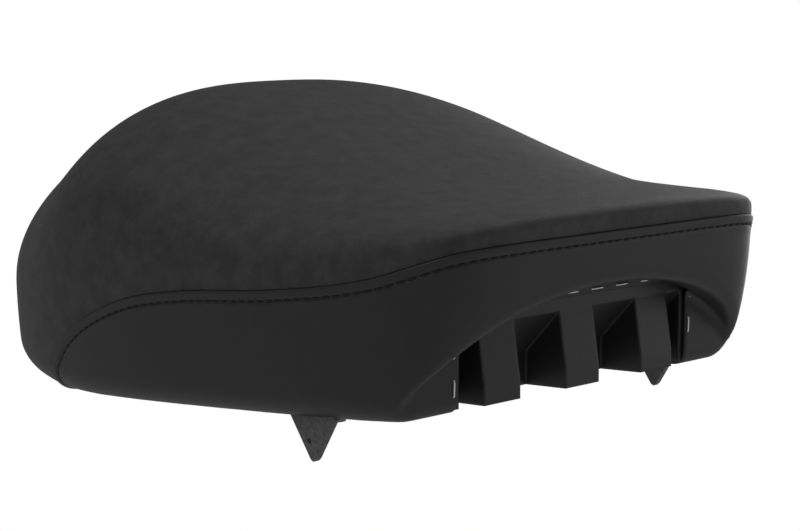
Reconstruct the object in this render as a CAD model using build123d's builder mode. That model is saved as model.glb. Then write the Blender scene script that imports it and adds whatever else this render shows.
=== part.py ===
"""Motorcycle seat: a moulded pan with a two-layer foam, a sewn and stapled cover and its mounting hardware.

Millimetres. X is across the seat, -Y the front (the open arch), +Y the rear (the tall hump), Z up.
The seat stands on its two guide lugs and the rear edge of its cover, so the origin is under its middle.
"""
import os
from math import atan, cos, hypot, pi, sin, sqrt

from build123d import *

# ---- driving dimensions -------------------------------------------------------------------------
seat_length = 437.0
half_length = seat_length / 2
front_half_width = 145.0        # across the front lip
rear_half_width = 172.0         # across the hump
cover_thickness = 2.0
comfort_thickness = 16.0        # softer foam under the top panel

lip_top = 135.0                 # height of the saddle behind the front lip
hump_top = 194.0                # height that the hump rises towards
flank_edge = 82.0               # level where the flank turns into the dome
front_edge = 118.0              # the same level at the front lip
rear_edge_drop = 20.0           # and how far it falls towards the rear
rear_fall = 8.0                 # the crown falls away behind its highest place
front_rim = 28.0                # underside of the cover at the front legs
rest_y = 160.0                  # behind this the underside lies flat on the ground
rear_curl_y = 186.0             # the rear face turns under from here
rear_curl_height = 40.0
stations = 13                   # sections that the outer form is lofted through

lean_top = (-half_length + 1.5, front_edge)     # the front face leans forward, (y, z)
lean_foot = (-188.0, front_rim)
front_wall_y = -181.0           # outside of the pan's front wall
arch_half_width = 131.0         # the padded lip is cut away by a half ellipse
arch_foot = 25.0
arch_top = 89.0
hem_half_width = 90.0           # edge of the cover, stapled to the front wall
hem_top = 79.0
hem_corner = 14.0
hem_staple_inset = 2.5

pan_wall = 3.0
flange_front_y = -150.0         # the flange stops short of the rounded front corners
flange_inset = 12.0             # from the outside of the cover to the pan's flange
wall_inset = 27.0               # and to the pan's side wall
cover_return = 30.0             # the cover wraps this far under the flange
deck_z = 94.0                   # top of the pan
deck_edge_radius = 10.0
pocket_depth = 27.0
pocket_knee_z = 47.0
pocket_top_z = 72.0
pocket_end_x = 87.0
stiffener_height = 12.0
rib_pitch = 61.0
rib_width = 26.4
rib_count = 3

thread_diameter = 1.0
stitch_pitch = 6.4
stitch_length = 4.6
stitch_drop = 6.5               # the topstitch runs this far under the fold
staple_width = 10.0
staple_wire = 1.2
staple_pitch = 20.0

os.makedirs("parts", exist_ok=True)

# ---- plane of the seat's mounting points, parallel to the sloping rim ----------------------------
rim_slope = front_rim / (rest_y + half_length * 0.83)
rim_angle = atan(rim_slope)
rim_zero = rim_slope * rest_y                   # height of the rim plane at the origin
up = (0, sin(rim_angle), cos(rim_angle))
mount_plane = Plane(origin=(0, 0, rim_zero), x_dir=(1, 0, 0), z_dir=up)


# ---- the seat's outer form ------------------------------------------------------------------------
def smooth(t):
    t = min(max(t, 0.0), 1.0)
    return t * t * (3 - 2 * t)


def plan_exponent(y):
    return 6.0 - 3.1 * smooth((y + 110) / 230)


def base_half_width(y):
    return front_half_width + (rear_half_width - front_half_width) * smooth((y + 218) / 270)


def half_width(y):
    p = plan_exponent(y)
    return base_half_width(y) * (1 - abs(y / half_length) ** p) ** (1 / p)


def edge_level(y):
    t = min(max((y + half_length) / 180, 0.0), 1.0)
    level = flank_edge + (front_edge - flank_edge) * (1 - t) ** 2
    return level - rear_edge_drop * smooth((y - 20) / 130)


def crown_level(y):
    level = lip_top + (hump_top - lip_top) * smooth((y + 178) / 313)
    return level - rear_fall * smooth((y - 40) / 150)


def dome_exponent(y):
    front = smooth((-120 - y) / 85)
    rear = smooth((y - 8) / 134)
    return 3.2 * (1 - front) * (1 - rear) + 6.6 * front + 1.98 * rear


def top_height(x, y):
    p = plan_exponent(y)
    k = dome_exponent(y)
    radius = min(1.0, (abs(x / base_half_width(y)) ** p + abs(y / half_length) ** p) ** (1 / p))
    edge = edge_level(y)
    crown = crown_level(y) - 9.0 * (x / rear_half_width) ** 2
    return edge + (crown - edge) * (1 - radius ** k) ** (1 / k)


def rim_level(y):
    level = max(0.0, rim_slope * (rest_y - y))
    curl = min(max((y - rear_curl_y) / (half_length - rear_curl_y), 0.0), 1.0)
    return level + rear_curl_height * (1 - sqrt(1 - curl ** 2))


def curl_radius(y):
    return 14.0 + 12.0 * smooth((y - 40) / 130)


def section(y, inset):
    """Half section at y, from the underside up and over to the crown, as (x, z) points."""
    wide = half_width(y) - inset
    low = rim_level(y) + inset
    edge = edge_level(y)
    curl = min(curl_radius(y) - inset, 0.45 * (edge - low))
    points = [
        (wide - curl - 3, low),
        (wide - 0.30 * curl - 3, low + 0.30 * curl),
        (wide - 2, low + curl),
        (wide, 0.5 * (low + curl + edge)),
    ]
    for step in range(1, 7):
        turn = step * pi / 12
        x = half_width(y) * cos(turn)
        points.append((max(x - inset * cos(turn), 0.0), top_height(x, y) - inset))
    return points


def form(inset):
    """The whole seat as one solid, its surface moved in by inset."""
    reach = half_length - inset
    with BuildPart() as solid:
        for step in range(stations):
            y = -half_length * cos(pi * (0.035 + 0.93 * step / (stations - 1)))
            across = Plane(origin=(0, y * reach / half_length, 0), x_dir=(1, 0, 0), z_dir=(0, -1, 0))
            points = section(y, inset)
            with BuildSketch(across):
                with BuildLine():
                    Polyline(*points, *[(-x, z) for x, z in reversed(points[:-1])], close=True)
                make_face()
        loft(ruled=True)
    return solid.part


# ---- shared cutting shapes -------------------------------------------------------------------------
def prism(points, half_width_x):
    """A (y, z) outline carried straight across the seat."""
    with BuildPart() as solid:
        with BuildSketch(Plane(origin=(0, 0, 0), x_dir=(0, 1, 0), z_dir=(1, 0, 0))):
            with BuildLine():
                Polyline(*points, close=True)
            make_face()
        extrude(amount=half_width_x, both=True)
    return solid.part


def lean(inset):
    """Everything ahead of the front face, which leans forward from its foot to the lip."""
    slope = (lean_foot[0] - lean_top[0]) / (lean_top[1] - lean_foot[1])
    shift = inset * hypot(1, slope)
    low = lean_foot[0] + slope * (lean_foot[1] + 20) + shift
    return prism([(-300, -20), (low, -20), (lean_top[0] + shift, lean_top[1]), (-300, lean_top[1])], 250)


def arch_cut(grow, depth_y):
    """The half-elliptic opening under the front lip, back to depth_y."""
    with BuildPart() as solid:
        with BuildSketch(Plane(origin=(0, depth_y, 0), x_dir=(1, 0, 0), z_dir=(0, -1, 0))):
            with Locations((0, arch_foot)):
                Ellipse(arch_half_width + grow, arch_top - arch_foot + grow)
            with Locations((0, arch_foot - 30)):
                Rectangle(2 * (arch_half_width + grow), 60)
        extrude(amount=90)
    return solid.part


def hem_line(inset):
    """Path of the cover's cut edge on the front wall, moved outwards by inset."""
    side = hem_half_width + inset
    top = hem_top + inset
    return FilletPolyline(
        (side, front_rim), (side, top), (-side, top), (-side, front_rim), radius=hem_corner + inset
    )


def pan_edge(inset):
    """Plan outline of the pan, further in at the rear, where the cover curls under it."""
    points = []
    for y in (front_wall_y - 12, -140, -85, -20, 50, 110, 155, 187, 208):
        x = half_width(y) * (1 - inset / 150)
        points.append((x, y - (inset + 20) * smooth(y / 200)))
    points.append((0, half_length - (inset + 20)))
    with BuildSketch(Plane.XY.offset(-20)) as outline:
        with BuildLine():
            Spline(*points, tangents=[(0.15, 1), (-1, 0)])
            Spline(*[(-x, y) for x, y in points], tangents=[(-0.15, 1), (1, 0)])
            Line(points[0], (-points[0][0], points[0][1]))
        make_face()
    return outline.sketch


def rim_line(drop):
    """The underside as a (y, z) line, raised by drop."""
    return [(-260, rim_slope * (rest_y + 260) + drop), (rest_y, drop), (260, drop)]


def below_rim(raise_by):
    return prism(rim_line(raise_by) + [(260, -60), (-260, -60)], 250)


def above_rim(raise_by):
    return prism(rim_line(raise_by) + [(260, 260), (-260, 260)], 250)


# ---- pan --------------------------------------------------------------------------------------------
pocket_y = front_wall_y + pocket_depth
pocket_face = [
    (front_wall_y, pocket_top_z),
    (pocket_y - pan_wall, pocket_knee_z),
    (pocket_y - pan_wall, -10),
    (pocket_y, -10),
    (pocket_y, pocket_knee_z + 2),
    (front_wall_y + pan_wall, pocket_top_z + 5),
    (front_wall_y, pocket_top_z + 5),
]
rib_face = [
    (front_wall_y, pocket_top_z),
    (front_wall_y - 3.0, 54.0),
    (front_wall_y - 5.4, 40.0),
    (front_wall_y - 6.0, -10.0),
]
rib_back = [(pocket_y, -10), (pocket_y, pocket_knee_z), (front_wall_y + pan_wall, pocket_top_z + 2)]
rib_centres = [(i - (rib_count - 1) / 2) * rib_pitch for i in range(rib_count)]
buffer_places = {
    "front_left": (-88.0, -108.0),
    "front_right": (88.0, -108.0),
    "rear_left": (-88.0, 118.0),
    "rear_right": (88.0, 118.0),
}
buffer_face = 8.0               # height of the buffers' faces above the mounting plane
buffer_radius = 13.0
buffer_height = 10.0
stem_radius = 4.0
latch_y = 132.0
latch_plate_z = 28.0            # underside of the latch plate above the mounting plane
latch_plate_size = (78.0, 44.0, 2.5)
latch_top = latch_plate_z + latch_plate_size[2]
latch_holes = [(x, latch_y + y) for x in (-28.0, 28.0) for y in (-12.0, 12.0)]
insert_radius = 4.0
insert_length = 10.0
screw_radius = 2.4
pin_radius = 4.0
pin_neck_radius = 2.8
lug_outer_x = 137.0
lug_thick = 4.0
lug_foot_x = 119.0
lug_front_y = -141.0
lug_rear_y = -106.0
rivet_places = [(side * 128.0, y) for side in (-1, 1) for y in (-134.0, -114.0)]
rivet_radius = 2.1


def on_mount(x, y, height):
    """Plane parallel to the mounting points, at height above them; y runs along the row frame."""
    return Plane(origin=mount_plane.from_local_coords((x, y, height)), x_dir=(1, 0, 0), z_dir=up)


def boss_height(y, start):
    """From height start above the mounting points up into the deck."""
    point = mount_plane.from_local_coords((0, y, start))
    return (deck_z - pan_wall / 2 - point.Z) / cos(rim_angle)


def block(y_from, y_to, z_from, z_to, half_width_x):
    return prism([(y_from, z_from), (y_to, z_from), (y_to, z_to), (y_from, z_to)], half_width_x)


# ---- foam and cover envelopes ---------------------------------------------------------------------------
with BuildPart() as outside:
    add(form(0))
    add(lean(0), mode=Mode.SUBTRACT)
    add(arch_cut(0, front_wall_y - cover_thickness), mode=Mode.SUBTRACT)

lining = form(cover_thickness)

with BuildPart() as inside:
    add(lining)
    add(lean(cover_thickness), mode=Mode.SUBTRACT)
    add(arch_cut(cover_thickness, front_wall_y), mode=Mode.SUBTRACT)

with BuildPart() as pan_envelope:
    add(pan_edge(wall_inset))
    extrude(amount=deck_z + 20, taper=3)
    fillet(pan_envelope.faces().sort_by(Axis.Z)[-1].edges(), deck_edge_radius)
    add(block(-300, front_wall_y, -60, 200, 250), mode=Mode.SUBTRACT)

with BuildPart() as pan_cavity:
    add(pan_edge(wall_inset + pan_wall))
    extrude(amount=deck_z + 20 - pan_wall, taper=3)
    add(block(-300, front_wall_y + pan_wall, -60, 200, 250), mode=Mode.SUBTRACT)

# the flange that the cover is stapled to
with BuildPart() as pan_flange:
    add(pan_edge(flange_inset))
    extrude(amount=100)
    extrude(pan_edge(wall_inset + pan_wall + 3), amount=100, mode=Mode.SUBTRACT)
    add(above_rim(cover_thickness), mode=Mode.INTERSECT)
    add(below_rim(cover_thickness + pan_wall), mode=Mode.INTERSECT)
    add(block(-300, flange_front_y, -60, 200, 250), mode=Mode.SUBTRACT)

with BuildPart() as seat_pan:
    add(pan_envelope.part)
    add(pan_cavity.part, mode=Mode.SUBTRACT)
    add(block(front_wall_y - 1, front_wall_y + 9, -60, pocket_top_z, pocket_end_x), mode=Mode.SUBTRACT)
    add(prism(pocket_face, pocket_end_x))
    for side in (-1, 1):
        with Locations((side * (pocket_end_x + pan_wall / 2), 0, 0)):
            add(prism([(front_wall_y, pocket_top_z + 2), (front_wall_y, -10)] + rib_back, pan_wall / 2))
    for centre in rib_centres:
        with Locations((centre, 0, 0)):
            add(prism(rib_face + [(y + pan_wall, z) for y, z in reversed(rib_face)], rib_width / 2))
        for side in (-1, 1):
            with Locations((centre + side * (rib_width - pan_wall) / 2, 0, 0)):
                add(prism(rib_face + rib_back, pan_wall / 2))
    with BuildSketch(Plane.XY.offset(deck_z - pan_wall)):
        for across in (-100.0, -20.0, 60.0):
            with Locations((0, across)):
                Rectangle(2 * (half_width(across) * (1 - wall_inset / 150) - 6), 2.5)
        for along in (-rib_pitch, rib_pitch):
            with Locations((along, -8)):
                Rectangle(2.5, 2 * 146)
    extrude(amount=-stiffener_height)
    add(pan_flange.part)
    for x, y in buffer_places.values():
        start = buffer_face + buffer_height
        with BuildSketch(on_mount(x, y, start)):
            Circle(11)
        extrude(amount=boss_height(y, start))
        with BuildSketch(on_mount(x, y, start + 4)):
            Circle(7.5)
        extrude(amount=16, mode=Mode.SUBTRACT)
        with BuildSketch(on_mount(x, y, start)):
            Circle(stem_radius)
        extrude(amount=6, mode=Mode.SUBTRACT)
    for x, y in latch_holes:
        with BuildSketch(on_mount(x, y, latch_top)):
            Circle(7)
        extrude(amount=boss_height(y, latch_top))
        with BuildSketch(on_mount(x, y, latch_top)):
            Circle(insert_radius)
        extrude(amount=insert_length, mode=Mode.SUBTRACT)
    add(below_rim(cover_thickness), mode=Mode.SUBTRACT)
    for x, y in rivet_places:
        with BuildSketch(Plane.XY.offset(-10)):
            with Locations((x, y)):
                Circle(rivet_radius)
        extrude(amount=80, mode=Mode.SUBTRACT)


# ---- foam -------------------------------------------------------------------------------------------
comfort_line = [(y, top_height(0, y) - comfort_thickness) for y in range(-160, 141, 60)]
comfort_line = [(-260, 120)] + comfort_line + [(190, 112), (260, 112)]
comfort_zone = prism(comfort_line + [(260, 260), (-260, 260)], 250)

with BuildPart() as comfort_foam_layer:
    add(inside.part)
    add(comfort_zone, mode=Mode.INTERSECT)

with BuildPart() as foam_body:
    add(inside.part)
    add(comfort_zone, mode=Mode.SUBTRACT)
    add(pan_envelope.part, mode=Mode.SUBTRACT)
    add(pan_flange.part, mode=Mode.SUBTRACT)

with BuildPart() as foam_core:
    add(foam_body.solids().sort_by(SortBy.VOLUME)[-1])

# ---- cover ------------------------------------------------------------------------------------------
seam = [(-240, 124), (-217, 119), (-170, 101), (-110, 90), (-45, 82.5), (5, 71.5), (55, 49.5), (88, 22), (99, -12)]

with BuildPart() as band_zone:
    with BuildSketch(Plane(origin=(0, 0, 0), x_dir=(0, 1, 0), z_dir=(1, 0, 0))):
        with BuildLine():
            Spline(*seam)
            Polyline(seam[-1], (-240, -12), seam[0])
        make_face()
    extrude(amount=250, both=True)

with BuildPart() as cover:
    add(outside.part)
    add(inside.part, mode=Mode.SUBTRACT)
    extrude(pan_edge(cover_return), amount=cover_thickness + 20 + front_rim + 2, mode=Mode.SUBTRACT)
    with BuildSketch(Plane(origin=(0, front_wall_y + 1, 0), x_dir=(1, 0, 0), z_dir=(0, -1, 0))):
        with BuildLine():
            hem_line(0)
            Polyline((-hem_half_width, front_rim), (-hem_half_width, -20), (hem_half_width, -20),
                     (hem_half_width, front_rim))
        make_face()
    extrude(amount=cover_thickness + 2, mode=Mode.SUBTRACT)
    for side in (-1, 1):
        with Locations((side * (lug_foot_x + lug_outer_x) / 2, 0, 0)):
            add(block(lug_front_y - 1, lug_rear_y + 1, -20, 34, (lug_outer_x - lug_foot_x) / 2 + 1),
                mode=Mode.SUBTRACT)

with BuildPart() as cover_side_band:
    add(cover.part)
    add(band_zone.part, mode=Mode.INTERSECT)

with BuildPart() as cover_top_panel:
    add(cover.part)
    add(band_zone.part, mode=Mode.SUBTRACT)

# ---- staples ------------------------------------------------------------------------------------------
def staple_shape(places):
    """A group of staples: crown sunk into the cover at each place, legs along the place's Z."""
    with BuildPart() as group:
        with Locations(*places):
            with Locations((0, 0, 0.2 + staple_wire / 2)):
                Box(staple_width, staple_wire, staple_wire)
            for side in (-1, 1):
                with Locations((side * (staple_width - staple_wire) / 2, 0, 2.4)):
                    Box(staple_wire, staple_wire, 4.4)
    return group


def walk(wire, pitch, start, end):
    """Even steps along a wire, as (point, direction)."""
    count = int((end - start) // pitch)
    spare = (end - start - count * pitch) / 2
    for step in range(count + 1):
        along = (start + spare + step * pitch) / wire.length
        yield wire.position_at(along), wire.tangent_at(along)


with BuildLine(Plane(origin=(0, front_wall_y - cover_thickness, 0), x_dir=(1, 0, 0), z_dir=(0, -1, 0))) as arch_row:
    hem_line(hem_staple_inset)
arch_wire = arch_row.wire()
staple_places = [
    Location(Plane(origin=point, x_dir=direction, z_dir=(0, 1, 0)))
    for point, direction in walk(arch_wire, staple_pitch, 6, arch_wire.length - 6)
]
rim_edge = pan_edge(flange_inset + 9).edges().sort_by(SortBy.LENGTH)
for edge in rim_edge[1:]:
    for point, direction in walk(edge, staple_pitch, 22, edge.length - 8):
        clear = all(hypot(point.X - x, point.Y - y) > 26 for x, y in rivet_places)
        if clear and point.Y > flange_front_y + 6:
            slope = rim_slope if point.Y < rest_y - 6 else 0.0
            tilt = atan(slope)
            normal = Vector(0, sin(tilt), cos(tilt))
            origin = (point.X, point.Y, max(0.0, rim_slope * (rest_y - point.Y)))
            heading = direction - normal * direction.dot(normal)
            staple_places.append(Location(Plane(origin=origin, x_dir=heading, z_dir=normal)))
cover_staples = staple_shape(staple_places)

# ---- topstitch ------------------------------------------------------------------------------------------
with BuildLine(Plane(origin=(0, 0, 0), x_dir=(0, 1, 0), z_dir=(1, 0, 0))) as seam_line:
    Spline(*seam)
seam_curve = seam_line.edge()


def surface_x(y, z):
    """Distance out to the flank at height z."""
    low = 0.0
    high = half_width(y)
    if z <= edge_level(y):
        return high - 0.3
    for _ in range(30):
        middle_x = (low + high) / 2
        if top_height(middle_x, y) > z:
            low = middle_x
        else:
            high = middle_x
    return low


lean_slope = (lean_foot[0] - lean_top[0]) / (lean_top[1] - lean_foot[1])
front_stitch_z = front_edge - stitch_drop - 2
front_stitch_y = lean_top[0] + lean_slope * (lean_top[1] - front_stitch_z)
thread_path = []
for step in range(60):
    along = 0.02 + 0.955 * step / 59
    point = seam_curve.position_at(along)
    slope = seam_curve.tangent_at(along)
    y = point.Y + stitch_drop * slope.Z
    z = point.Z - stitch_drop * slope.Y
    if y > front_stitch_y + 1 and z > rim_level(y) + 4:
        thread_path.append((surface_x(y, z), y, z))
corner_x = half_width(front_stitch_y)
thread_half = [(0.0, front_stitch_y, front_stitch_z), (corner_x - 6, front_stitch_y, front_stitch_z)] + thread_path
with BuildLine() as thread_line:
    Polyline(*thread_half)
    Polyline(*[(-x, y, z) for x, y, z in thread_half])

with BuildPart() as seam_thread:
    for run in thread_line.wires():
        for point, direction in walk(run, stitch_pitch, 3, run.length - 3):
            with BuildSketch(Plane(origin=point - direction * stitch_length / 2, z_dir=direction)):
                Circle(thread_diameter / 2)
            extrude(amount=stitch_length)

# ---- guide lugs -----------------------------------------------------------------------------------------
def rim_z(y):
    return rim_slope * (rest_y - y)


lug_outline = [
    (lug_front_y, rim_z(lug_front_y)), (-126.6, 1.8), (-124.6, 0.0), (-122.6, 0.9),
    (lug_rear_y, rim_z(lug_rear_y)),
]
foot_outline = [
    (lug_front_y, rim_z(lug_front_y)), (lug_rear_y, rim_z(lug_rear_y)),
    (lug_rear_y, rim_z(lug_rear_y) + cover_thickness), (lug_front_y, rim_z(lug_front_y) + cover_thickness),
]
lugs = {}
for name, side in (("guide_lug_left", -1), ("guide_lug_right", 1)):
    with BuildPart() as lug:
        with Locations((side * (lug_outer_x - lug_thick / 2), 0, 0)):
            add(prism(lug_outline + [foot_outline[2], foot_outline[3]], lug_thick / 2))
        with Locations((side * (lug_outer_x + lug_foot_x) / 2, 0, 0)):
            add(prism(foot_outline, (lug_outer_x - lug_foot_x) / 2))
        with BuildSketch(Plane(origin=(side * lug_outer_x, -121.5, 10.5), x_dir=(0, 1, 0), z_dir=(side, 0, 0))):
            Circle(1.6)
        extrude(amount=-lug_thick, mode=Mode.SUBTRACT)
        with BuildSketch(Plane.XY.offset(-10)):
            with Locations(*[(x, y) for x, y in rivet_places if x * side > 0]):
                Circle(rivet_radius)
        extrude(amount=80, mode=Mode.SUBTRACT)
    lugs[name] = lug

with BuildPart() as guide_lug_rivets:
    for x, y in rivet_places:
        base = rim_z(y)
        with BuildSketch(Plane(origin=(x, y, base), x_dir=(1, 0, 0), z_dir=(0, 0, 1))):
            Circle(rivet_radius)
        extrude(amount=cover_thickness + pan_wall)
        with BuildSketch(Plane(origin=(x, y, base - 1.9), x_dir=(1, 0, 0), z_dir=(0, 0, 1))):
            Circle(4.2)
        extrude(amount=1.5)
        with BuildSketch(Plane(origin=(x, y, base - 0.5), x_dir=(1, 0, 0), z_dir=(0, 0, 1))):
            Circle(rivet_radius)
        extrude(amount=0.6)

# ---- rubber buffers ---------------------------------------------------------------------------------------
buffers = {}
for place, (x, y) in buffer_places.items():
    with BuildPart() as rubber_buffer:
        with BuildSketch(on_mount(x, y, buffer_face)):
            Circle(buffer_radius)
        extrude(amount=buffer_height)
        chamfer(rubber_buffer.faces().sort_by(Axis(origin=(0, 0, 0), direction=up))[0].edges(), 1.5)
        with BuildSketch(on_mount(x, y, buffer_face + buffer_height)):
            Circle(stem_radius)
        extrude(amount=5)
        with BuildSketch(on_mount(x, y, buffer_face + buffer_height + 4.2)) as barb:
            Circle(stem_radius + 1.8)
        extrude(amount=6, taper=18)
    buffers[f"rubber_buffer_{place}"] = rubber_buffer

# ---- latch ------------------------------------------------------------------------------------------------
with BuildPart() as latch_plate:
    with BuildSketch(on_mount(0, latch_y, latch_plate_z)):
        RectangleRounded(latch_plate_size[0], latch_plate_size[1], 8)
        with GridLocations(56, 24, 2, 2):
            Circle(screw_radius + 0.35, mode=Mode.SUBTRACT)
        Circle(3.1, mode=Mode.SUBTRACT)
    extrude(amount=latch_plate_size[2])

with BuildPart() as threaded_inserts:
    for x, y in latch_holes:
        with BuildSketch(on_mount(x, y, latch_top)):
            Circle(insert_radius)
            Circle(screw_radius, mode=Mode.SUBTRACT)
        extrude(amount=insert_length)

with BuildPart() as latch_screws:
    for x, y in latch_holes:
        with BuildSketch(on_mount(x, y, latch_plate_z)):
            Circle(4.6)
        extrude(amount=-3.2)
        with BuildSketch(on_mount(x, y, latch_plate_z - 3.2)):
            RegularPolygon(1.7, 6)
        extrude(amount=1.8, mode=Mode.SUBTRACT)
        with BuildSketch(on_mount(x, y, latch_plate_z)):
            Circle(screw_radius)
        extrude(amount=latch_plate_size[2] + insert_length - 1)

with BuildPart() as latch_pin:
    for radius, low, high in (
        (7.0, -3.0, 0.0),
        (pin_radius, -11.0, -3.0),
        (pin_neck_radius, -17.0, -11.0),
        (pin_radius, -20.0, -17.0),
        (3.0, 0.0, 11.0),
    ):
        with BuildSketch(on_mount(0, latch_y, latch_plate_z + low)):
            Circle(radius)
        extrude(amount=high - low)
    chamfer(latch_pin.faces().sort_by(Axis(origin=(0, 0, 0), direction=up))[0].edges(), 1.6)

with BuildPart() as latch_pin_washer:
    with BuildSketch(on_mount(0, latch_y, latch_top)):
        Circle(6)
        Circle(3.1, mode=Mode.SUBTRACT)
    extrude(amount=1.2)

with BuildPart() as latch_pin_nut:
    with BuildSketch(on_mount(0, latch_y, latch_top + 1.2)):
        RegularPolygon(5.0, 6, major_radius=False)
        Circle(3.0, mode=Mode.SUBTRACT)
    extrude(amount=5)

pieces = {
    "seat_pan": seat_pan,
    "foam_core": foam_core,
    "comfort_foam_layer": comfort_foam_layer,
    "cover_side_band": cover_side_band,
    "cover_top_panel": cover_top_panel,
    "cover_staples": cover_staples,
    "seam_thread": seam_thread,
    "guide_lug_rivets": guide_lug_rivets,
    "latch_plate": latch_plate,
    "latch_screws": latch_screws,
    "threaded_inserts": threaded_inserts,
    "latch_pin": latch_pin,
    "latch_pin_washer": latch_pin_washer,
    "latch_pin_nut": latch_pin_nut,
    **lugs,
    **buffers,
}
for name, piece in pieces.items():
    piece.part.label = name
    export_step(piece.part, f"parts/{name}.step")
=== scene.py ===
"""Motorcycle seat: sewn and stapled cover over foam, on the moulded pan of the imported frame."""

from math import radians

import bpy
import numpy as np
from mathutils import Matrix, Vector


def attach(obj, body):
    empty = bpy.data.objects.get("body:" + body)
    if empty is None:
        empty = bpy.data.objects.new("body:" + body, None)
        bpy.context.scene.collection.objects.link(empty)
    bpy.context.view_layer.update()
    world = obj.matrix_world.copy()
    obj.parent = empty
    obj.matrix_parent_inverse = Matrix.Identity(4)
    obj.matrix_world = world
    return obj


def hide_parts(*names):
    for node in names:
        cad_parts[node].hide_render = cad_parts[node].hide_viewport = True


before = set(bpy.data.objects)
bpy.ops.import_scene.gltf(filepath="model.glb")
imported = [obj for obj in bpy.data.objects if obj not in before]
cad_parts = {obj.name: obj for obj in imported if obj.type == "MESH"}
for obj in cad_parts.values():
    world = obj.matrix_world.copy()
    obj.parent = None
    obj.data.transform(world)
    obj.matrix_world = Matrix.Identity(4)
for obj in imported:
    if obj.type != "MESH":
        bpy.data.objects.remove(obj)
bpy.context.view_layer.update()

# ---- the seat's form, in millimetres (X across, -Y front, Z up) ----------------------------------
HALF_LENGTH = 218.5
FRONT_HALF_WIDTH = 145.0
REAR_HALF_WIDTH = 172.0
LIP_TOP = 135.0
HUMP_TOP = 194.0
CROWN_CAMBER = 9.0
FLANK_EDGE = 82.0
FRONT_EDGE = 118.0
REAR_EDGE_DROP = 20.0
REAR_FALL = 8.0
FRONT_RIM = 28.0
REST_Y = 160.0
REAR_CURL_Y = 186.0
REAR_CURL_HEIGHT = 40.0
FLANK_TUCK = 4.5
END_TUCK = 3.0
LEAN_TOP = (-217.0, 118.0)
LEAN_FOOT = (-188.0, 28.0)
LIP_BULGE = 4.0
LIP_ROUND = 12.0
FRONT_WALL_Y = -181.0
HEM_FACE_Y = FRONT_WALL_Y - 2.0
ARCH_HALF_WIDTH = 131.0
ARCH_FOOT = 25.0
ARCH_TOP = 89.0
ARCH_BACK_ROUND = 3.0
ARCH_LIP_ROUND = 5.0
FLANK_BOTTOM_ROUND = 14.0
HUMP_BOTTOM_ROUND = 26.0
HEM_HALF_WIDTH = 90.0
HEM_TOP = 79.0
HEM_CORNER = 14.0
COVER_RETURN = 30.0
UNDER_FRONT_Y = -165.0
DECK_Z = 94.0
COMFORT_THICKNESS = 16.0
COVER_THICKNESS = 1.6
FOAM_GAP = 1.4
STITCH_DROP = 5.5
SEAM = [
    (-240, 124), (-217, 119), (-170, 101), (-110, 90), (-45, 82.5), (5, 71.5), (52, 49.5), (80, 22), (89, -12)
]
RIM_SLOPE = FRONT_RIM / (REST_Y + HALF_LENGTH * 0.83)
MM = 0.001


def smooth(t):
    """0 to 1 with level ends."""
    t = np.clip(t, 0.0, 1.0)
    return t * t * (3 - 2 * t)


def plan_exponent(y):
    """How square the plan outline is: 6 at the lip, 2.9 at the hump."""
    return 6.0 - 3.1 * smooth((y + 110) / 230)


def base_half_width(y):
    """Half the width of the widest outline that the ends are rounded out of."""
    return FRONT_HALF_WIDTH + (REAR_HALF_WIDTH - FRONT_HALF_WIDTH) * smooth((y + 218) / 270)


def half_width(y):
    """Half the width of the plan outline."""
    p = plan_exponent(y)
    return base_half_width(y) * (1 - np.minimum(1, np.abs(y / HALF_LENGTH)) ** p) ** (1 / p)


def edge_level(y):
    """Height at which the dome starts to curve in over the wall."""
    t = np.clip((y + HALF_LENGTH) / 180, 0, 1)
    level = FLANK_EDGE + (FRONT_EDGE - FLANK_EDGE) * (1 - t) ** 2
    return level - REAR_EDGE_DROP * smooth((y - 20) / 130)


def crown_level(y):
    """Height of the top along the middle."""
    level = LIP_TOP + (HUMP_TOP - LIP_TOP) * smooth((y + 178) / 313)
    return level - REAR_FALL * smooth((y - 40) / 150)


def dome_exponent(y):
    """How square the dome is across: flat over the lip, round over the hump."""
    front = smooth((-120 - y) / 85)
    rear = smooth((y - 8) / 134)
    return 3.2 * (1 - front) * (1 - rear) + 6.6 * front + 1.98 * rear


def rim_level(y):
    """Height of the lower edge, level at the rear and curling up at the end of the hump."""
    curl = np.clip((y - REAR_CURL_Y) / (HALF_LENGTH - REAR_CURL_Y), 0, 1)
    return np.maximum(0, RIM_SLOPE * (REST_Y - y)) + REAR_CURL_HEIGHT * (1 - np.sqrt(1 - curl**2))


def join_max(a, b, radius):
    """Intersection of two solids with the edge between them rounded."""
    corner = -radius + np.sqrt(np.maximum(a + radius, 0) ** 2 + np.maximum(b + radius, 0) ** 2)
    return np.where((a > -radius) & (b > -radius), corner, np.maximum(a, b))


def to_distance(value, step):
    """Scales a field so that it reads in millimetres near its surface."""
    slope = np.sqrt(sum(g**2 for g in np.gradient(value, step)))
    return value / np.maximum(slope, 1e-4)


class Grid:
    """A box of sample points."""

    def __init__(self, low, high, step):
        self.low = np.array(low, float)
        self.step = step
        axes = [np.arange(a, b + step, step) for a, b in zip(low, high)]
        self.x, self.y, self.z = np.meshgrid(*axes, indexing="ij")


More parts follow.
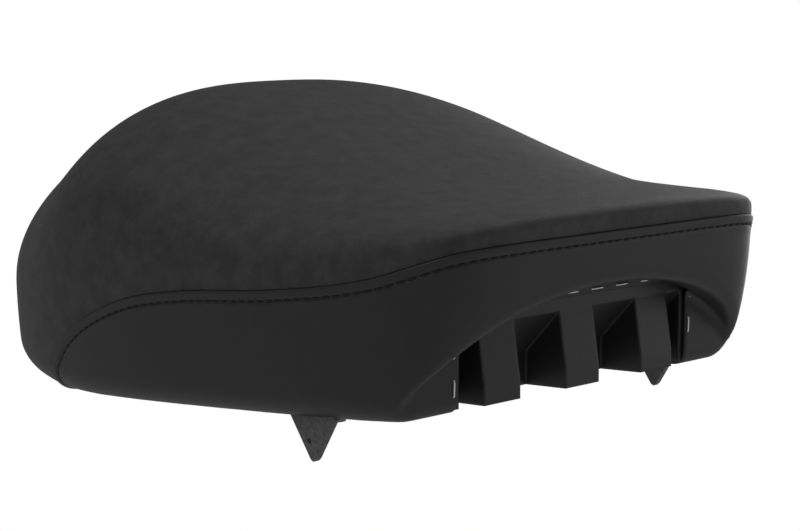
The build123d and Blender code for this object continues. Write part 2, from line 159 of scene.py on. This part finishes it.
def seat_form(grid):
    """Signed distance to the outside of the cover, in millimetres."""
    x, y, z = grid.x, grid.y, grid.z
    edge = edge_level(y)
    rim = rim_level(y)
    drop = np.clip((edge - z) / np.maximum(edge - rim, 20), 0, 1.2)
    p = plan_exponent(y)
    k = dome_exponent(y)
    wide = base_half_width(y) - FLANK_TUCK * drop**1.8
    long = HALF_LENGTH - END_TUCK * drop**2
    plan = (np.abs(x / wide) ** p + np.abs(y / long) ** p) ** (1 / p)
    crown = crown_level(y) - CROWN_CAMBER * (x / REAR_HALF_WIDTH) ** 2
    rise = np.maximum(z - edge, 0) / (crown - edge)
    body = to_distance((plan**k + rise**k) ** (1 / k) - 1, grid.step)
    under = to_distance(rim - z, grid.step)
    bottom_round = FLANK_BOTTOM_ROUND + (HUMP_BOTTOM_ROUND - FLANK_BOTTOM_ROUND) * smooth((y - 40) / 130)
    solid = join_max(body, under, bottom_round)
    slope = (LEAN_FOOT[0] - LEAN_TOP[0]) / (LEAN_TOP[1] - LEAN_FOOT[1])
    height = (z - LEAN_FOOT[1]) / (LEAN_TOP[1] - LEAN_FOOT[1])
    bulge = LIP_BULGE * np.clip(4 * height * (1 - height), 0, 1)
    face = (LEAN_FOOT[0] - slope * (z - LEAN_FOOT[1]) - bulge - y) / np.hypot(1, slope)
    solid = join_max(solid, face, LIP_ROUND)
    arch = np.hypot(x / ARCH_HALF_WIDTH, np.maximum(z - ARCH_FOOT, 0) / (ARCH_TOP - ARCH_FOOT)) - 1
    cutter = join_max(to_distance(arch, grid.step), y - HEM_FACE_Y, ARCH_BACK_ROUND)
    return join_max(solid, -cutter, ARCH_LIP_ROUND)


# ---- meshes out of fields ------------------------------------------------------------------------
def surface_net(field, grid):
    """Points and quads of the zero level of a field, one point for each cell that it crosses."""
    inside = field < 0
    shape = np.array(field.shape) - 1
    total = np.zeros((*shape, 3))
    count = np.zeros(shape)
    corners = [(i, j, k) for i in (0, 1) for j in (0, 1) for k in (0, 1)]

    def part(array, corner):
        return array[tuple(slice(c, c + n) for c, n in zip(corner, shape))]

    for corner in corners:
        for axis in range(3):
            if corner[axis]:
                continue
            other = tuple(1 if a == axis else c for a, c in enumerate(corner))
            crosses = part(inside, corner) != part(inside, other)
            near = part(field, corner)
            far = part(field, other)
            share = np.where(crosses, near / np.where(crosses, near - far, 1), 0)
            for a in range(3):
                total[..., a] += crosses * (corner[a] + (share if a == axis else 0))
            count += crosses
    used = count > 0
    index = np.full(shape, -1)
    index[used] = np.arange(used.sum())
    points = (np.argwhere(used) + total[used] / count[used][:, None]) * grid.step + grid.low
    quads = []
    for axis in range(3):
        b, c = (axis + 1) % 3, (axis + 2) % 3
        first = np.take(inside, range(field.shape[axis] - 1), axis)
        second = np.take(inside, range(1, field.shape[axis]), axis)
        where = np.argwhere(first != second)
        where = where[(where[:, b] > 0) & (where[:, c] > 0)]
        where = where[(where[:, b] < shape[b]) & (where[:, c] < shape[c])]
        ring = []
        for db, dc in ((-1, -1), (0, -1), (0, 0), (-1, 0)):
            cell = where.copy()
            cell[:, b] += db
            cell[:, c] += dc
            ring.append(index[tuple(cell.T)])
        quad = np.stack(ring, 1)
        solid_first = first[tuple(where.T)]
        quads.append(np.where(solid_first[:, None], quad, quad[:, ::-1]))
    return points, np.concatenate(quads)


def sampler(array, grid):
    """Trilinear reading of an array at any points."""
    top = np.array(array.shape) - 2

    def read(points):
        place = (points - grid.low) / grid.step
        cell = np.clip(np.floor(place).astype(int), 0, top)
        part = place - cell
        total = 0
        for i in (0, 1):
            for j in (0, 1):
                for k in (0, 1):
                    weight = np.ones(len(points))
                    for a, bit in enumerate((i, j, k)):
                        weight *= part[:, a] if bit else 1 - part[:, a]
                    total = total + weight * array[cell[:, 0] + i, cell[:, 1] + j, cell[:, 2] + k]
        return total

    return read


def even_out(points, quads, field, grid, rounds):
    """Relaxes the points along the surface and puts them back on the zero level."""
    value = sampler(field, grid)
    slopes = [sampler(g, grid) for g in np.gradient(field, grid.step)]
    ends = np.concatenate([quads[:, [i, (i + 1) % 4]] for i in range(4)])
    ends = np.concatenate([ends, ends[:, ::-1]])
    valence = np.bincount(ends[:, 0], minlength=len(points))
    for _ in range(rounds):
        middle = np.stack(
            [np.bincount(ends[:, 0], points[ends[:, 1], a], len(points)) / valence for a in range(3)], 1
        )
        points = points + 0.6 * (middle - points)
        for _ in range(2):
            slope = np.stack([s(points) for s in slopes], 1)
            size = np.maximum((slope**2).sum(1), 0.05)
            points = points - slope * np.clip(value(points) / size, -1, 1)[:, None]
    return points


def curve_through(knots, count):
    """A smooth line through the knots, as points."""
    knots = np.array(knots, float)
    knots = np.vstack([2 * knots[0] - knots[1], knots, 2 * knots[-1] - knots[-2]])
    t = np.linspace(0, len(knots) - 3, count)
    i = np.minimum(t.astype(int), len(knots) - 4)
    f = (t - i)[:, None]
    a, b, c, d = (knots[i + n] for n in range(4))
    return 0.5 * (2 * b + (c - a) * f + (2 * a - 5 * b + 4 * c - d) * f**2 + (3 * b - a - 3 * c + d) * f**3)


def line_distance(u, v, line):
    """Distance from the points (u, v) to a line, positive on its left."""
    best = np.full(u.shape, 1e9)
    sign = np.ones(u.shape)
    for (ua, va), (ub, vb) in zip(line[:-1], line[1:]):
        du, dv = ub - ua, vb - va
        t = np.clip(((u - ua) * du + (v - va) * dv) / (du**2 + dv**2), 0, 1)
        away = np.hypot(u - ua - t * du, v - va - t * dv)
        closer = away < best
        best = np.where(closer, away, best)
        sign = np.where(closer, np.sign(du * (v - va) - dv * (u - ua)), sign)
    return best * sign


seam_line = curve_through(SEAM, 90)


def seam_distance(points):
    """Height over the seam in the side view: positive on the top panel."""
    return line_distance(points[:, 1], points[:, 2], seam_line)


def pan_outline(inset):
    """Plan outline of the pan, anticlockwise, closed."""
    y = np.array([FRONT_WALL_Y - 12, -140, -85, -20, 50, 110, 155, 187, 208])
    side = np.stack([half_width(y) * (1 - inset / 150), y - (inset + 20) * smooth(y / 200)], 1)
    tip = np.array([[0, HALF_LENGTH - (inset + 20)]])
    knots = np.vstack([side, tip, (side * [-1, 1])[::-1]])
    line = curve_through(knots, 120)
    return np.vstack([line, line[:1]])


def pan_distance(x, y, inset):
    """Distance in plan from the pan's outline, positive outside."""
    return -line_distance(x, y, pan_outline(inset))


# ---- building meshes -----------------------------------------------------------------------------
def new_object(name, points, faces, material):
    """A smooth-shaded mesh in the scene, from points in millimetres."""
    mesh = bpy.data.meshes.new(name)
    mesh.from_pydata((np.asarray(points) * MM).tolist(), [], [list(map(int, f)) for f in faces])
    mesh.validate()
    mesh.polygons.foreach_set("use_smooth", [True] * len(mesh.polygons))
    mesh.materials.append(material)
    obj = bpy.data.objects.new(name, mesh)
    bpy.context.scene.collection.objects.link(obj)
    return obj


# ---- materials -----------------------------------------------------------------------------------
def finish(
    name, colour, roughness, metallic=0.0, grain=0.0, grain_scale=900.0, mottle=0.0, mottle_scale=120.0,
    rounding=0.0,
):
    """A surface with fine grain in its height and a soft mottle in its colour."""
    material = bpy.data.materials.new(name)
    material.use_nodes = True
    tree = material.node_tree
    shader = tree.nodes["Principled BSDF"]
    shader.inputs["Base Color"].default_value = (*colour, 1)
    shader.inputs["Roughness"].default_value = roughness
    shader.inputs["Metallic"].default_value = metallic
    place = tree.nodes.new("ShaderNodeTexCoord")
    if mottle:
        noise = tree.nodes.new("ShaderNodeTexNoise")
        noise.inputs["Scale"].default_value = mottle_scale
        noise.inputs["Detail"].default_value = 6.0
        noise.inputs["Roughness"].default_value = 0.65
        tree.links.new(place.outputs["Object"], noise.inputs["Vector"])
        ramp = tree.nodes.new("ShaderNodeValToRGB")
        ramp.color_ramp.elements[0].position = 0.35
        ramp.color_ramp.elements[1].position = 0.65
        ramp.color_ramp.elements[0].color = (*[c * (1 - mottle) for c in colour], 1)
        ramp.color_ramp.elements[1].color = (*[c * (1 + mottle) for c in colour], 1)
        tree.links.new(noise.outputs["Fac"], ramp.inputs["Fac"])
        tree.links.new(ramp.outputs["Color"], shader.inputs["Base Color"])
    if rounding:
        edge = tree.nodes.new("ShaderNodeBevel")
        edge.samples = 6
        edge.inputs["Radius"].default_value = rounding
        tree.links.new(edge.outputs["Normal"], shader.inputs["Normal"])
    if grain:
        fine = tree.nodes.new("ShaderNodeTexNoise")
        fine.inputs["Scale"].default_value = grain_scale
        fine.inputs["Detail"].default_value = 3.0
        tree.links.new(place.outputs["Object"], fine.inputs["Vector"])
        bump = tree.nodes.new("ShaderNodeBump")
        bump.inputs["Strength"].default_value = grain
        bump.inputs["Distance"].default_value = 0.0004
        tree.links.new(fine.outputs["Fac"], bump.inputs["Height"])
        if rounding:
            tree.links.new(edge.outputs["Normal"], bump.inputs["Normal"])
        tree.links.new(bump.outputs["Normal"], shader.inputs["Normal"])
    return material


top_vinyl = finish(
    "top_vinyl", (0.032, 0.032, 0.033), 0.60, grain=0.7, grain_scale=900, mottle=0.34, mottle_scale=90
)
band_vinyl = finish("band_vinyl", (0.016, 0.016, 0.017), 0.50, grain=0.15, grain_scale=1400, mottle=0.08)
thread_black = finish("thread", (0.006, 0.006, 0.006), 0.7)
staple_steel = finish("staple_steel", (0.78, 0.78, 0.77), 0.32, metallic=1.0)
pan_plastic = finish("pan_plastic", (0.016, 0.016, 0.017), 0.42, grain=0.15, grain_scale=700, rounding=0.0022)
lug_plastic = finish(
    "lug_plastic", (0.10, 0.10, 0.10), 0.60, grain=0.6, grain_scale=500, mottle=0.35, mottle_scale=400
)
rivet_steel = finish("rivet_steel", (0.20, 0.20, 0.21), 0.40, metallic=1.0)
plated_steel = finish("plated_steel", (0.62, 0.60, 0.55), 0.35, metallic=1.0, mottle=0.06)
insert_brass = finish("insert_brass", (0.72, 0.52, 0.24), 0.30, metallic=1.0)
buffer_rubber = finish("buffer_rubber", (0.020, 0.020, 0.020), 0.75, grain=0.3, grain_scale=600)
core_foam = finish("foam", (0.30, 0.30, 0.31), 0.95, grain=0.8, grain_scale=500, mottle=0.15)
soft_foam = finish("comfort_foam", (0.80, 0.74, 0.52), 0.95, grain=0.8, grain_scale=600, mottle=0.10)

node_finish = {
    "seat_pan": pan_plastic,
    "guide_lug_left": lug_plastic,
    "guide_lug_right": lug_plastic,
    "guide_lug_rivets": rivet_steel,
    "latch_plate": plated_steel,
    "latch_screws": plated_steel,
    "threaded_inserts": insert_brass,
    "latch_pin": plated_steel,
    "latch_pin_washer": plated_steel,
    "latch_pin_nut": plated_steel,
}
for node_name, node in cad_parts.items():
    material = buffer_rubber if node_name.startswith("rubber") else node_finish.get(node_name)
    if material:
        for place in node.material_slots:
            place.material = material

# ---- cover ---------------------------------------------------------------------------------------
# The band is folded over the top panel and stitched through under the fold. The tables give how far
# the outer face is raised at a height over the fold. The mesh is cut along the levels where that turns.
SEAM_LEVELS = (2.2, 1.0, 0.4, 0, -0.7, -1.5, -4.4, -5.1, -5.5, -5.9, -6.6, -8.5)
RELIEF_AT = [-10, -8.5, -6.6, -5.9, -5.5, -5.1, -4.4, -3.0, -1.5, -0.7, 0]
RELIEF = [0, 0.12, 0.3, -0.15, -0.35, -0.1, 0.65, 0.85, 1.05, 1.1, 0.55]
TOP_AT = [0, 0.4, 1.0, 2.2, 5.0]
TOP_RELIEF = [-0.3, -0.2, -0.1, -0.03, 0]
COVER_STEP = 2.65
EVENING_ROUNDS = 6
ON_LEVEL = 1e-6

grid = Grid((-182, -236, -8), (182, 230, 204), COVER_STEP)
form = seat_form(grid)
points, quads = surface_net(form, grid)
points = even_out(points, quads, form, grid, EVENING_ROUNDS)
slopes = [sampler(g, grid) for g in np.gradient(form, grid.step)]


def normals_at(places):
    """Outward normals of the form."""
    out = np.stack([s(places) for s in slopes], 1)
    return out / np.linalg.norm(out, axis=1)[:, None]


def seam_height(places):
    """Distance from the seam measured along the surface."""
    nudge = 0.5
    here = seam_distance(places)
    along_y = (seam_distance(places + [0, nudge, 0]) - here) / nudge
    along_z = (seam_distance(places + [0, 0, nudge]) - here) / nudge
    rise = np.stack([np.zeros(len(places)), along_y, along_z], 1)
    normal = normals_at(places)
    rise -= normal * (rise * normal).sum(1)[:, None]
    return here / np.clip(np.linalg.norm(rise, axis=1), 0.35, 1)


def hem_height(places):
    """Distance outwards from the cover's cut edge on the front wall."""
    side = np.abs(places[:, 0]) - (HEM_HALF_WIDTH - HEM_CORNER)
    rise = places[:, 2] - (HEM_TOP - HEM_CORNER)
    corner = np.hypot(np.maximum(side, 0), np.maximum(rise, 0)) + np.minimum(np.maximum(side, rise), 0)
    return corner - HEM_CORNER


def cut_levels(points, faces, measure, levels, near):
    """Cuts polygons along the levels of a measure; the faces come back as lists."""
    points = [tuple(p) for p in points]
    value = list(measure)
    for level in levels:
        made = {}
        cut = []
        for face in faces:
            values = [value[v] - level for v in face]
            if not near(face) or min(values) >= -ON_LEVEL or max(values) <= ON_LEVEL:
                cut.append(face)
                continue
            ring = []
            for a, b, fa, fb in zip(face, face[1:] + face[:1], values, values[1:] + values[:1]):
                ring.append((a, 0 if abs(fa) <= ON_LEVEL else (1 if fa > 0 else -1)))
                if fa * fb < 0 and abs(fa) > ON_LEVEL and abs(fb) > ON_LEVEL:
                    key = (min(a, b), max(a, b))
                    if key not in made:
                        share = fa / (fa - fb)
                        made[key] = len(points)
                        points.append(tuple(p + (q - p) * share for p, q in zip(points[a], points[b])))
                        value.append(level)
                    ring.append((made[key], 0))
            above = [v for v, side in ring if side >= 0]
            below = [v for v, side in ring if side <= 0]
            cut += [part for part in (above, below) if len(part) > 2]
        faces = cut
    return np.array(points), faces, np.array(value)


faces = quads.tolist()
height = seam_height(points)
points, faces, height = cut_levels(points, faces, height, SEAM_LEVELS, lambda face: True)


def centres(points, faces):
    """The middle of each face."""
    return np.array([points[face].mean(0) for face in faces])


def cut_opening(points, faces, measure, extra, zone):
    """Cuts the faces of a zone along the zero of a measure and drops those on its negative side."""
    middle = centres(points, faces)
    chosen = zone(middle)
    marked = {tuple(face) for face, use in zip(faces, chosen) if use}
    count = len(points)
    points, cut, _ = cut_levels(points, faces, measure(points), (0.0,), lambda face: tuple(face) in marked)
    extra = np.concatenate([extra, seam_height(points[count:])]) if len(points) > count else extra
    middle = centres(points, cut)
    drop = zone(middle) & (measure(middle) < 0)
    return points, [face for face, gone in zip(cut, drop) if not gone], extra


def hem_zone(places):
    """The part of the front wall's plane that lies inside the arch."""
    return (places[:, 1] < FRONT_WALL_Y + 6) & (places[:, 1] > FRONT_WALL_Y - 6) & (places[:, 2] < ARCH_TOP)


def under_height(places):
    """Distance outwards from the cover's cut edge under the seat, which is open between the front corners."""
    x, y = places[:, 0], places[:, 1]
    behind = np.maximum(pan_distance(x, y, COVER_RETURN), UNDER_FRONT_Y - y)
    ahead = np.maximum(np.abs(x) - HEM_HALF_WIDTH, y - UNDER_FRONT_Y - 4)
    return np.minimum(behind, ahead)


def under_zone(places):
    """The underside, behind the front wall."""
    low = np.maximum(0, RIM_SLOPE * (REST_Y - places[:, 1]))
    return (places[:, 2] < low + 9) & (places[:, 1] > FRONT_WALL_Y - 2)


points, faces, height = cut_opening(points, faces, hem_height, height, hem_zone)
points, faces, height = cut_opening(points, faces, under_height, height, under_zone)
normals = normals_at(points)

def shell(name, points, faces, normals, material):
    """A closed sheet of the cover's thickness, from its outer face inwards."""
    used = np.unique(np.concatenate([np.array(face) for face in faces]))
    renumber = np.full(len(points), -1)
    renumber[used] = np.arange(len(used))
    outer = [renumber[face].tolist() for face in faces]
    count = len(used)
    edges = {}
    for face in outer:
        for a, b in zip(face, face[1:] + face[:1]):
            edges[(a, b)] = True
    rim = [(a, b) for a, b in edges if (b, a) not in edges]
    inner = [[v + count for v in reversed(face)] for face in outer]
    walls = [[b, a, a + count, b + count] for a, b in rim]
    places = np.concatenate([points[used], points[used] - normals[used] * COVER_THICKNESS])
    return new_object(name, places, outer + inner + walls, material)


middle_height = np.array([height[face].mean() for face in faces])
top_faces = [face for face, h in zip(faces, middle_height) if h > 0]
band_faces = [face for face, h in zip(faces, middle_height) if h <= 0]
top_points = points + normals * np.interp(height, TOP_AT, TOP_RELIEF)[:, None]
band_points = points + normals * np.interp(height, RELIEF_AT, RELIEF)[:, None]
cover_top = shell("cover_top", top_points, top_faces, normals, top_vinyl)
cover_band = shell("cover_band", band_points, band_faces, normals, band_vinyl)

# ---- wires: staples and stitches -----------------------------------------------------------------
def tube(path, radius, sides):
    """Points and faces of a round wire along a path, closed at both ends."""
    path = np.array(path, float)
    along = np.gradient(path, axis=0)
    along /= np.linalg.norm(along, axis=1)[:, None]
    helper = np.array([0.31, 0.22, 0.92])
    if abs(along[0] @ helper) >= 0.8:
        helper = np.array([1.0, 0, 0])
    ring_points = []
    for place, heading in zip(path, along):
        side = np.cross(heading, helper)
        side /= np.linalg.norm(side)
        other = np.cross(heading, side)
        turn = np.arange(sides) * 2 * np.pi / sides
        ring_points.append(place + radius * (np.cos(turn)[:, None] * side + np.sin(turn)[:, None] * other))
    faces = []
    for row in range(len(path) - 1):
        for k in range(sides):
            a, b = row * sides + k, row * sides + (k + 1) % sides
            faces.append([a, b, b + sides, a + sides])
    faces.append(list(range(sides))[::-1])
    faces.append([(len(path) - 1) * sides + k for k in range(sides)])
    return np.concatenate(ring_points), faces


def gather(name, parts, material):
    """One object out of many separate closed parts."""
    points, faces, count = [], [], 0
    for part_points, part_faces in parts:
        points.append(part_points)
        faces += [[v + count for v in face] for face in part_faces]
        count += len(part_points)
    return new_object(name, np.concatenate(points), faces, material)


def stride(path, pitch, start):
    """Places at an even pitch along a path, as (point, direction)."""
    path = np.array(path, float)
    length = np.concatenate([[0], np.cumsum(np.linalg.norm(np.diff(path, axis=0), axis=1))])
    for s in np.arange(start, length[-1] - start, pitch):
        here = np.array([np.interp(s, length, path[:, a]) for a in range(3)])
        ahead = np.array([np.interp(s + 0.5, length, path[:, a]) for a in range(3)])
        yield here, (ahead - here) / np.linalg.norm(ahead - here)


STAPLE_PITCH = 20.0
STAPLE_HALF = 4.6
STAPLE_LEG = 3.2
STAPLE_RADIUS = 0.55
HEM_STAPLE_INSET = 2.5
HEM_STAPLE_START = 6
RIM_STAPLE_INSET = 21.0
RIM_STAPLE_START = 14
RIVET_X = 128
RIVET_YS = (-134, -114)
RIVET_CLEARANCE = 26
LOWEST_STAPLE_Z = 38.0
FLANGE_FRONT_Y = -150.0
staples = []


def add_staple(here, heading, out):
    """A staple whose crown lies on the cover, its legs driven in against out."""
    shape = [(-STAPLE_HALF, -STAPLE_LEG), (-STAPLE_HALF, -0.2), (-STAPLE_HALF + 0.5, 0.25)]
    shape += [(-STAPLE_HALF / 2, 0.35), (STAPLE_HALF / 2, 0.35)]
    shape += [(STAPLE_HALF - 0.5, 0.25), (STAPLE_HALF, -0.2), (STAPLE_HALF, -STAPLE_LEG)]
    staples.append(tube([here + heading * u + out * w for u, w in shape], STAPLE_RADIUS, 8))


corner = HEM_CORNER + HEM_STAPLE_INSET
turn = np.linspace(0, np.pi / 2, 9)
side_x = HEM_HALF_WIDTH + HEM_STAPLE_INSET
top_z = HEM_TOP + HEM_STAPLE_INSET
hem_row = [(side_x, FRONT_RIM - 2)]
hem_row += [(side_x - corner + corner * np.cos(t), top_z - corner + corner * np.sin(t)) for t in turn]
hem_row += [(-x, z) for x, z in reversed(hem_row)]
for here, heading in stride([(x, HEM_FACE_Y, z) for x, z in hem_row], STAPLE_PITCH, HEM_STAPLE_START):
    if here[2] > LOWEST_STAPLE_Z:
        add_staple(here, heading, np.array([0, -1.0, 0]))
rim_row = pan_outline(RIM_STAPLE_INSET)[:-1]
rim_z = np.maximum(0, RIM_SLOPE * (REST_Y - rim_row[:, 1]))
for here, heading in stride(np.column_stack([rim_row, rim_z]), STAPLE_PITCH, RIM_STAPLE_START):
    to_rivet = min(np.hypot(abs(here[0]) - RIVET_X, here[1] - y) for y in RIVET_YS)
    if here[1] > FLANGE_FRONT_Y + 6 and to_rivet >= RIVET_CLEARANCE:
        tilt = np.array([0, -RIM_SLOPE, -1.0]) if here[1] < REST_Y - 6 else np.array([0, 0, -1.0])
        add_staple(here, heading, tilt / np.linalg.norm(tilt))
cover_staples = gather("staples", staples, staple_steel)

STITCH_PITCH = 6.4
STITCH_HALF = 2.35
THREAD_RADIUS = 0.5
SHORTEST_SEAM = 12
LOWEST_STITCH_Z = 6
on_line = {i for i in range(len(points)) if abs(height[i] + STITCH_DROP) < 1e-4}
links = {}
for face in band_faces:
    for a, b in zip(face, face[1:] + face[:1]):
        if a in on_line and b in on_line:
            links.setdefault(a, set()).add(b)
            links.setdefault(b, set()).add(a)
stitches = []
left = set(links)
while left:
    ends = [v for v in left if len(links[v] & left) <= 1] or list(left)
    here = min(ends)
    chain = []
    while here is not None:
        chain.append(here)
        left.discard(here)
        here = next(iter(links[here] & left), None)
    if len(chain) < SHORTEST_SEAM:
        continue
    path = points[chain]
    for place, heading in stride(path, STITCH_PITCH, 2):
        if place[2] < LOWEST_STITCH_Z:
            continue
        out = normals_at(place[None])[0]
        bow = [(-STITCH_HALF, -0.9), (-STITCH_HALF * 0.8, -0.2), (0, 0.15)]
        bow += [(STITCH_HALF * 0.8, -0.2), (STITCH_HALF, -0.9)]
        stitches.append(tube([place + heading * u + out * w for u, w in bow], THREAD_RADIUS, 6))
seam_stitches = gather("stitches", stitches, thread_black)

# ---- foam ----------------------------------------------------------------------------------------
FOAM_STEP = 4.0
PAN_WALL_INSET = 27.0
PAN_WALL_DRAFT = 0.0524
PAN_GAP = 0.5
FLANGE_INSET = 12.0
FLANGE_THICKNESS = 5.6
LOWEST_LAYER_Z = 112.0
LAYER_GAP = 0.6
coarse = Grid((-178, -226, -4), (178, 224, 202), FOAM_STEP)
hollow = seat_form(coarse) + COVER_THICKNESS + FOAM_GAP
flat_x, flat_y = coarse.x[:, :, 0], coarse.y[:, :, 0]
wall = pan_distance(flat_x, flat_y, PAN_WALL_INSET)[:, :, None] + (coarse.z + 20) * PAN_WALL_DRAFT
pan_block = np.maximum(np.maximum(wall, coarse.z - DECK_Z), FRONT_WALL_Y - coarse.y) - PAN_GAP
rim = np.maximum(0, RIM_SLOPE * (REST_Y - coarse.y))
flange = np.maximum(pan_distance(flat_x, flat_y, FLANGE_INSET)[:, :, None], coarse.z - rim - FLANGE_THICKNESS)
bow = dome_exponent(coarse.y)
along = np.minimum(1, np.abs(coarse.y / HALF_LENGTH))
edge = edge_level(coarse.y)
centre_top = edge + (crown_level(coarse.y) - edge) * (1 - along**bow) ** (1 / bow)
layer = np.maximum(centre_top - COMFORT_THICKNESS, LOWEST_LAYER_Z) - coarse.z
core_field = np.maximum.reduce([hollow, -pan_block, -flange, -layer])
core = new_object("core_foam", *surface_net(core_field, coarse), core_foam)
comfort = new_object("comfort_foam", *surface_net(np.maximum(hollow, layer + LAYER_GAP), coarse), soft_foam)

# ---- what stands for what ------------------------------------------------------------------------
stand_ins = {
    cover_top: ("cover_top_panel", "top_vinyl"),
    cover_band: ("cover_side_band", "band_vinyl"),
    seam_stitches: ("seam_thread", "thread"),
    cover_staples: ("cover_staples", "staple_steel"),
    core: ("foam_core", "foam"),
    comfort: ("comfort_foam_layer", "comfort_foam"),
}
for piece, (node_name, slot_name) in stand_ins.items():
    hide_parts(node_name)
    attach(piece, "root")

# ---- camera and light ----------------------------------------------------------------------------
scene = bpy.context.scene
camera = bpy.data.objects.new("camera", bpy.data.cameras.new("camera"))
camera.data.lens = 81.0
camera.data.sensor_width = 36.0
camera.location = (-0.7076, -0.8278, 0.2428)
camera.rotation_euler = (radians(90 - 8.8), 0, radians(-41.9))
scene.collection.objects.link(camera)
scene.camera = camera

# the room lights the seat from above and below, and the camera sees plain white behind it
world = bpy.data.worlds.new("studio")
world.use_nodes = True
tree = world.node_tree
backdrop = tree.nodes["Background"]
backdrop.inputs["Color"].default_value = (1, 1, 1, 1)
backdrop.inputs["Strength"].default_value = 1.0
room = tree.nodes.new("ShaderNodeBackground")
direction = tree.nodes.new("ShaderNodeTexCoord")
axes = tree.nodes.new("ShaderNodeSeparateXYZ")
by_height = tree.nodes.new("ShaderNodeValToRGB")
to_unit = tree.nodes.new("ShaderNodeMapRange")
to_unit.inputs["From Min"].default_value = -1.0
for place, level in ((0.0, 0.40), (0.42, 0.36), (0.50, 0.42), (0.58, 0.10), (0.75, 0.22), (1.0, 0.34)):
    ends = by_height.color_ramp.elements
    stop = ends.new(place) if 0 < place < 1 else ends[-int(place)]
    stop.position = place
    stop.color = (level, level, level, 1)
tree.links.new(direction.outputs["Generated"], axes.inputs["Vector"])
tree.links.new(axes.outputs["Z"], to_unit.inputs["Value"])
tree.links.new(to_unit.outputs["Result"], by_height.inputs["Fac"])
tree.links.new(by_height.outputs["Color"], room.inputs["Color"])
seen = tree.nodes.new("ShaderNodeLightPath")
choose = tree.nodes.new("ShaderNodeMixShader")
tree.links.new(seen.outputs["Is Camera Ray"], choose.inputs["Fac"])
tree.links.new(room.outputs["Background"], choose.inputs[1])
tree.links.new(backdrop.outputs["Background"], choose.inputs[2])
tree.links.new(choose.outputs["Shader"], tree.nodes["World Output"].inputs["Surface"])
scene.world = world
scene.view_settings.view_transform = "Standard"


def soft_light(name, place, target, size, power):
    light = bpy.data.lights.new(name, "AREA")
    light.shape = "RECTANGLE"
    light.size, light.size_y = size
    light.energy = power
    obj = bpy.data.objects.new(name, light)
    obj.location = place
    obj.rotation_euler = (Vector(target) - Vector(place)).to_track_quat("-Z", "Y").to_euler()
    scene.collection.objects.link(obj)


soft_light("overhead", (0.35, 0.1, 1.5), (0, 0, 0.1), (1.2, 1.2), 2.0)
soft_light("high_left", (-0.9, -0.1, 1.2), (0, -0.1, 0.1), (0.7, 1.0), 3.0)
soft_light("far_side", (1.5, 0.25, 0.35), (0.1, -0.1, 0.1), (0.8, 1.2), 9.0)
soft_light("front_right", (1.2, -0.9, 0.25), (0.12, -0.15, 0.1), (0.3, 1.0), 1.2)
